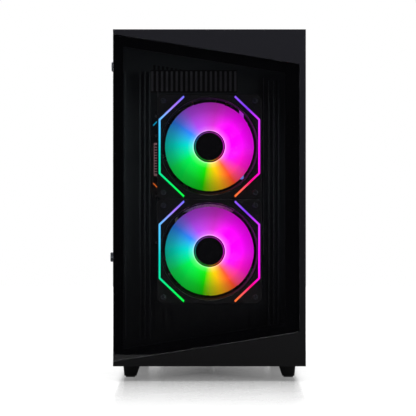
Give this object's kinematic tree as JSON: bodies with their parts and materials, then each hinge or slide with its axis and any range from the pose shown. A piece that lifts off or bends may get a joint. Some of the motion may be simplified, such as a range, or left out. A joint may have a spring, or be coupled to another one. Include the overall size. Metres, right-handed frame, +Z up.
{
  "type": "desktop computer tower",
  "caption": "Upright desktop computer case with an angled tinted glass front over lit fans, a side window, working parts inside and removable panels.",
  "frame": {"origin": "middle of the footprint of the bounding box, thumbscrews included, on the floor", "axes": "+Z up, the glass front faces -Y, the side window is on -X"},
  "size_m": [0.2238, 0.395, 0.3983],
  "materials": {
    "steel_black": "fine satin powder coat",
    "plastic_satin": "moulded, lightly textured, with a fine edge chamfer",
    "plastic_black": "moulded, matte",
    "foot_rubber": "moulded, matte, soft pad below",
    "front_glass": "tinted tempered glass with a black printed border",
    "side_glass": "lightly tinted tempered glass",
    "light_strip": "milky light guide, lit in shifting colours",
    "fan_clear": "frosted translucent blades, lit from the hub",
    "fan_black": "moulded blades",
    "board": "solder mask with fine tracks",
    "heatsink_black": "black anodised",
    "heatsink_bright": "bare fins",
    "connector_metal": "plated shells round black inserts",
    "psu_metal": "fine textured black paint",
    "drive_metal": "cast case",
    "screw_metal": "knurled, dark finish",
    "lead_sleeve": "bundled wires in a black sleeve",
    "filter": "fine mesh in a thin frame"
  },
  "bodies": {
    "case": {"board_lead": "lead_sleeve", "chassis_floor": "steel_black", "chassis_front": "steel_black", "chassis_rear": "steel_black", "chassis_top": "steel_black", "chipset_heatsink": "heatsink_black", "cooler_fan_frame": "plastic_black", "cpu_cooler": "heatsink_bright", "drive_cage": "steel_black", "expansion_slot": "plastic_black", "fan_light_lower_left": "light_strip", "fan_light_lower_right": "light_strip", "fan_light_upper_left": "light_strip", "fan_light_upper_right": "light_strip", "foot_front_left": "foot_rubber", "foot_front_right": "foot_rubber", "foot_rear_left": "foot_rubber", "foot_rear_right": "foot_rubber", "front_fan_lower_frame": "plastic_black", "front_fan_upper_frame": "plastic_black", "graphics_board": "board", "graphics_heatsink": "heatsink_bright", "graphics_lead": "lead_sleeve", "graphics_shroud": "plastic_satin", "hard_drive": "drive_metal", "lower_side_panel": "steel_black", "memory_module_1": "heatsink_black", "memory_module_2": "heatsink_black", "memory_sockets": "plastic_black", "motherboard": "board", "motherboard_tray": "steel_black", "power_inlet": "plastic_black", "power_supply": "psu_metal", "psu_shroud": "steel_black", "rear_fan_frame": "plastic_black", "rear_port_block": "connector_metal", "top_port_block": "plastic_black", "vrm_heatsink": "heatsink_black"},
    "front_panel": {"front_bezel": "plastic_satin", "front_glass": "front_glass"},
    "front_fan_upper": {"front_fan_upper_rotor": "fan_clear"},
    "front_fan_lower": {"front_fan_lower_rotor": "fan_clear"},
    "rear_fan": {"rear_fan_rotor": "fan_black"},
    "cooler_fan": {"cooler_fan_rotor": "fan_black"},
    "graphics_fan_a": {"graphics_fan_1": "fan_black"},
    "graphics_fan_b": {"graphics_fan_2": "fan_black"},
    "power_supply_rotor": {"power_supply_fan": "fan_black"},
    "side_window": {"side_glass": "side_glass"},
    "glass_thumbscrew_front_upper": {"glass_screw_front_upper": "screw_metal"},
    "glass_thumbscrew_rear_upper": {"glass_screw_rear_upper": "screw_metal"},
    "glass_thumbscrew_front_lower": {"glass_screw_front_lower": "screw_metal"},
    "glass_thumbscrew_rear_lower": {"glass_screw_rear_lower": "screw_metal"},
    "right_cover": {"right_panel": "steel_black"},
    "panel_thumbscrew_upper": {"panel_screw_upper": "screw_metal"},
    "panel_thumbscrew_lower": {"panel_screw_lower": "screw_metal"},
    "roof_filter": {"top_filter": "filter"},
    "floor_filter": {"power_supply_filter": "filter"},
    "power_key": {"power_button": "plastic_satin"},
    "reset_key": {"reset_button": "plastic_satin"},
    "mains_rocker": {"power_rocker": "plastic_black"}
  },
  "joints": [
    {"name": "front_panel_pull", "type": "slide", "parent": "case", "child": "front_panel", "axis": [0, -1, 0], "range_m": [0, 0.06]},
    {"name": "front_fan_upper_spin", "type": "hinge", "parent": "case", "child": "front_fan_upper", "pos_m": [0.0029, -0.1646, 0.2663], "axis": [0, 1, 0], "continuous": true},
    {"name": "front_fan_lower_spin", "type": "hinge", "parent": "case", "child": "front_fan_lower", "pos_m": [0.0029, -0.1646, 0.1465], "axis": [0, 1, 0], "continuous": true},
    {"name": "rear_fan_spin", "type": "hinge", "parent": "case", "child": "rear_fan", "pos_m": [-0.0351, 0.177, 0.312], "axis": [0, 1, 0], "continuous": true},
    {"name": "cooler_fan_spin", "type": "hinge", "parent": "case", "child": "cooler_fan", "pos_m": [-0.0231, 0.0755, 0.306], "axis": [0, 1, 0], "continuous": true},
    {"name": "graphics_fan_1_spin", "type": "hinge", "parent": "case", "child": "graphics_fan_a", "pos_m": [0.0159, 0.012, 0.179], "axis": [0, 0, 1], "continuous": true},
    {"name": "graphics_fan_2_spin", "type": "hinge", "parent": "case", "child": "graphics_fan_b", "pos_m": [0.0159, 0.11, 0.179], "axis": [0, 0, 1], "continuous": true},
    {"name": "power_supply_fan_spin", "type": "hinge", "parent": "case", "child": "power_supply_rotor", "pos_m": [0.0099, 0.117, 0.036], "axis": [0, 0, 1], "continuous": true},
    {"name": "side_glass_pull", "type": "slide", "parent": "case", "child": "side_window", "axis": [-1, 0, 0], "range_m": [0, 0.06]},
    {"name": "glass_screw_front_upper_turn", "type": "hinge", "parent": "side_window", "child": "glass_thumbscrew_front_upper", "pos_m": [-0.1064, -0.141, 0.36], "axis": [1, 0, 0], "continuous": true},
    {"name": "glass_screw_rear_upper_turn", "type": "hinge", "parent": "side_window", "child": "glass_thumbscrew_rear_upper", "pos_m": [-0.1064, 0.18, 0.36], "axis": [1, 0, 0], "continuous": true},
    {"name": "glass_screw_front_lower_turn", "type": "hinge", "parent": "side_window", "child": "glass_thumbscrew_front_lower", "pos_m": [-0.1064, -0.141, 0.139], "axis": [1, 0, 0], "continuous": true},
    {"name": "glass_screw_rear_lower_turn", "type": "hinge", "parent": "side_window", "child": "glass_thumbscrew_rear_lower", "pos_m": [-0.1064, 0.18, 0.139], "axis": [1, 0, 0], "continuous": true},
    {"name": "right_panel_pull", "type": "slide", "parent": "case", "child": "right_cover", "axis": [0, 1, 0], "range_m": [0, 0.025]},
    {"name": "panel_screw_upper_turn", "type": "hinge", "parent": "right_cover", "child": "panel_thumbscrew_upper", "pos_m": [0.1039, 0.1913, 0.36], "axis": [0, 1, 0], "continuous": true},
    {"name": "panel_screw_lower_turn", "type": "hinge", "parent": "right_cover", "child": "panel_thumbscrew_lower", "pos_m": [0.1039, 0.1913, 0.139], "axis": [0, 1, 0], "continuous": true},
    {"name": "top_filter_lift", "type": "slide", "parent": "case", "child": "roof_filter", "axis": [0, 0, 1], "range_m": [0, 0.03]},
    {"name": "power_supply_filter_pull", "type": "slide", "parent": "case", "child": "floor_filter", "axis": [0, 1, 0], "range_m": [0, 0.16]},
    {"name": "power_button_press", "type": "slide", "parent": "case", "child": "power_key", "axis": [0, 0, -1], "range_m": [0, 0.0009], "stiffness_N_per_m": 600},
    {"name": "reset_button_press", "type": "slide", "parent": "case", "child": "reset_key", "axis": [0, 0, -1], "range_m": [0, 0.0009], "stiffness_N_per_m": 400},
    {"name": "power_rocker_tilt", "type": "hinge", "parent": "case", "child": "mains_rocker", "pos_m": [-0.0411, 0.1856, 0.092], "axis": [1, 0, 0], "range_deg": [-8, 8]}
  ]
}
